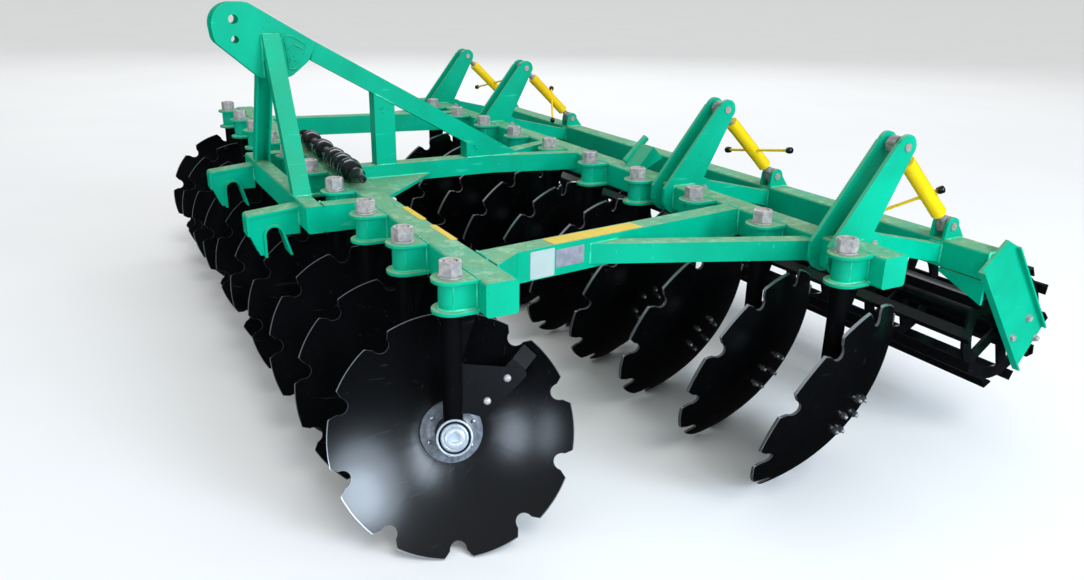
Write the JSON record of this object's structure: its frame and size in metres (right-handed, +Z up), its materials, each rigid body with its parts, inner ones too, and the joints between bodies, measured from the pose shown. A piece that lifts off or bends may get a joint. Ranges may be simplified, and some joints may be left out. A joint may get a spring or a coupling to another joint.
{
  "type": "disc harrow",
  "caption": "Mounted disc harrow: trapezoid frame, two rows of notched dished discs on single stands, three-point mast and a rear cage roller on turnbuckles.",
  "frame": {"origin": "on the floor under the middle of the machine's outer box", "axes": "+X to the machine's left, -Y the way it travels, +Z up"},
  "size_m": [3.5899, 2.333, 1.345],
  "materials": {
    "green_paint": "teal green enamel, dusty on the flats, with bright weld seams",
    "black_paint": "satin black enamel",
    "disc_black": "gloss black paint, bright ground edge",
    "zinc": "zinc plate",
    "bright_steel": "turned steel, oiled",
    "yellow_paint": "gloss yellow enamel"
  },
  "bodies": {
    "frame": {"front_beam": "green_paint", "rear_beam": "green_paint", "side_beams": "green_paint", "diagonal_braces": "green_paint", "centre_tube": "green_paint", "centre_fork": "green_paint", "hitch_beam": "green_paint", "hitch_connectors": "green_paint", "lower_link_hooks": "green_paint", "mast_head": "green_paint", "mast_legs": "green_paint", "mast_strut": "green_paint", "mast_post": "green_paint", "arm_plates": "green_paint", "arm_pins": "zinc", "rear_bracket": "green_paint", "hitch_cross_shaft": "black_paint", "stands_front": "black_paint", "hub_caps_front": "zinc", "scrapers_front": "black_paint", "sockets_front": "green_paint", "stand_nuts_front": "zinc", "stands_rear": "black_paint", "hub_caps_rear": "zinc", "scrapers_rear": "black_paint", "sockets_rear": "green_paint", "stand_nuts_rear": "zinc"},
    "disc_front_1": {"disc_front_1": "disc_black"},
    "disc_front_2": {"disc_front_2": "disc_black"},
    "disc_front_3": {"disc_front_3": "disc_black"},
    "disc_front_4": {"disc_front_4": "disc_black"},
    "disc_front_5": {"disc_front_5": "disc_black"},
    "disc_front_6": {"disc_front_6": "disc_black"},
    "disc_front_7": {"disc_front_7": "disc_black"},
    "disc_front_8": {"disc_front_8": "disc_black"},
    "disc_front_9": {"disc_front_9": "disc_black"},
    "disc_front_10": {"disc_front_10": "disc_black"},
    "disc_rear_1": {"disc_rear_1": "disc_black"},
    "disc_rear_2": {"disc_rear_2": "disc_black"},
    "disc_rear_3": {"disc_rear_3": "disc_black"},
    "disc_rear_4": {"disc_rear_4": "disc_black"},
    "disc_rear_5": {"disc_rear_5": "disc_black"},
    "disc_rear_6": {"disc_rear_6": "disc_black"},
    "disc_rear_7": {"disc_rear_7": "disc_black"},
    "disc_rear_8": {"disc_rear_8": "disc_black"},
    "disc_rear_9": {"disc_rear_9": "disc_black"},
    "disc_rear_10": {"disc_rear_10": "disc_black"},
    "roller_frame": {"roller_beam": "green_paint", "roller_arms": "green_paint", "roller_lugs": "green_paint", "lug_pins": "zinc", "roller_end_plates": "green_paint", "roller_hanger": "green_paint"},
    "roller_left": {"roller_left": "black_paint"},
    "roller_right": {"roller_right": "black_paint"},
    "turnbuckles": {"turnbuckle_upper_rods": "bright_steel", "turnbuckle_barrels": "yellow_paint", "turnbuckle_handles": "yellow_paint"},
    "turnbuckle_rods": {"turnbuckle_lower_rods": "bright_steel"}
  },
  "joints": [
    {"name": "disc_front_1_spin", "type": "hinge", "parent": "frame", "child": "disc_front_1", "pos_m": [1.3665, -0.86, 0.3054], "axis": [0.8937, -0.2904, 0.342], "continuous": true},
    {"name": "disc_front_2_spin", "type": "hinge", "parent": "frame", "child": "disc_front_2", "pos_m": [1.0315, -0.86, 0.3054], "axis": [0.8937, -0.2904, 0.342], "continuous": true},
    {"name": "disc_front_3_spin", "type": "hinge", "parent": "frame", "child": "disc_front_3", "pos_m": [0.6965, -0.86, 0.3054], "axis": [0.8937, -0.2904, 0.342], "continuous": true},
    {"name": "disc_front_4_spin", "type": "hinge", "parent": "frame", "child": "disc_front_4", "pos_m": [0.3615, -0.86, 0.3054], "axis": [0.8937, -0.2904, 0.342], "continuous": true},
    {"name": "disc_front_5_spin", "type": "hinge", "parent": "frame", "child": "disc_front_5", "pos_m": [0.0265, -0.86, 0.3054], "axis": [0.8937, -0.2904, 0.342], "continuous": true},
    {"name": "disc_front_6_spin", "type": "hinge", "parent": "frame", "child": "disc_front_6", "pos_m": [-0.3085, -0.86, 0.3054], "axis": [0.8937, -0.2904, 0.342], "continuous": true},
    {"name": "disc_front_7_spin", "type": "hinge", "parent": "frame", "child": "disc_front_7", "pos_m": [-0.6435, -0.86, 0.3054], "axis": [0.8937, -0.2904, 0.342], "continuous": true},
    {"name": "disc_front_8_spin", "type": "hinge", "parent": "frame", "child": "disc_front_8", "pos_m": [-0.9785, -0.86, 0.3054], "axis": [0.8937, -0.2904, 0.342], "continuous": true},
    {"name": "disc_front_9_spin", "type": "hinge", "parent": "frame", "child": "disc_front_9", "pos_m": [-1.3135, -0.86, 0.3054], "axis": [0.8937, -0.2904, 0.342], "continuous": true},
    {"name": "disc_front_10_spin", "type": "hinge", "parent": "frame", "child": "disc_front_10", "pos_m": [-1.6485, -0.86, 0.3054], "axis": [0.8937, -0.2904, 0.342], "continuous": true},
    {"name": "disc_rear_1_spin", "type": "hinge", "parent": "frame", "child": "disc_rear_1", "pos_m": [1.6485, 0.193, 0.3054], "axis": [-0.8937, -0.2904, 0.342], "continuous": true},
    {"name": "disc_rear_2_spin", "type": "hinge", "parent": "frame", "child": "disc_rear_2", "pos_m": [1.3135, 0.193, 0.3054], "axis": [-0.8937, -0.2904, 0.342], "continuous": true},
    {"name": "disc_rear_3_spin", "type": "hinge", "parent": "frame", "child": "disc_rear_3", "pos_m": [0.9785, 0.193, 0.3054], "axis": [-0.8937, -0.2904, 0.342], "continuous": true},
    {"name": "disc_rear_4_spin", "type": "hinge", "parent": "frame", "child": "disc_rear_4", "pos_m": [0.6435, 0.193, 0.3054], "axis": [-0.8937, -0.2904, 0.342], "continuous": true},
    {"name": "disc_rear_5_spin", "type": "hinge", "parent": "frame", "child": "disc_rear_5", "pos_m": [0.3085, 0.193, 0.3054], "axis": [-0.8937, -0.2904, 0.342], "continuous": true},
    {"name": "disc_rear_6_spin", "type": "hinge", "parent": "frame", "child": "disc_rear_6", "pos_m": [-0.0265, 0.193, 0.3054], "axis": [-0.8937, -0.2904, 0.342], "continuous": true},
    {"name": "disc_rear_7_spin", "type": "hinge", "parent": "frame", "child": "disc_rear_7", "pos_m": [-0.3615, 0.193, 0.3054], "axis": [-0.8937, -0.2904, 0.342], "continuous": true},
    {"name": "disc_rear_8_spin", "type": "hinge", "parent": "frame", "child": "disc_rear_8", "pos_m": [-0.6965, 0.193, 0.3054], "axis": [-0.8937, -0.2904, 0.342], "continuous": true},
    {"name": "disc_rear_9_spin", "type": "hinge", "parent": "frame", "child": "disc_rear_9", "pos_m": [-1.0315, 0.193, 0.3054], "axis": [-0.8937, -0.2904, 0.342], "continuous": true},
    {"name": "disc_rear_10_spin", "type": "hinge", "parent": "frame", "child": "disc_rear_10", "pos_m": [-1.3665, 0.193, 0.3054], "axis": [-0.8937, -0.2904, 0.342], "continuous": true},
    {"name": "roller_lift", "type": "hinge", "parent": "frame", "child": "roller_frame", "pos_m": [0, 0.385, 0.7274], "axis": [1, 0, 0], "range_deg": [-11, 3]},
    {"name": "roller_left_spin", "type": "hinge", "parent": "roller_frame", "child": "roller_left", "pos_m": [0, 0.95, 0.4], "axis": [1, 0, 0], "continuous": true},
    {"name": "roller_right_spin", "type": "hinge", "parent": "roller_frame", "child": "roller_right", "pos_m": [0, 0.95, 0.4], "axis": [1, 0, 0], "continuous": true},
    {"name": "turnbuckle_swing", "type": "hinge", "parent": "frame", "child": "turnbuckles", "pos_m": [0, 0.465, 1.0054], "axis": [1, 0, 0], "range_deg": [-8, 3]},
    {"name": "turnbuckle_screw", "type": "slide", "parent": "turnbuckles", "child": "turnbuckle_rods", "axis": [0, 0.7271, -0.6865], "range_m": [-0.015, 0.05]}
  ],
  "couplings": [
    {"joint": "turnbuckle_swing", "follows": "roller_lift", "ratio": 0.65},
    {"joint": "turnbuckle_screw", "follows": "roller_lift", "m_per_rad": -0.25}
  ]
}
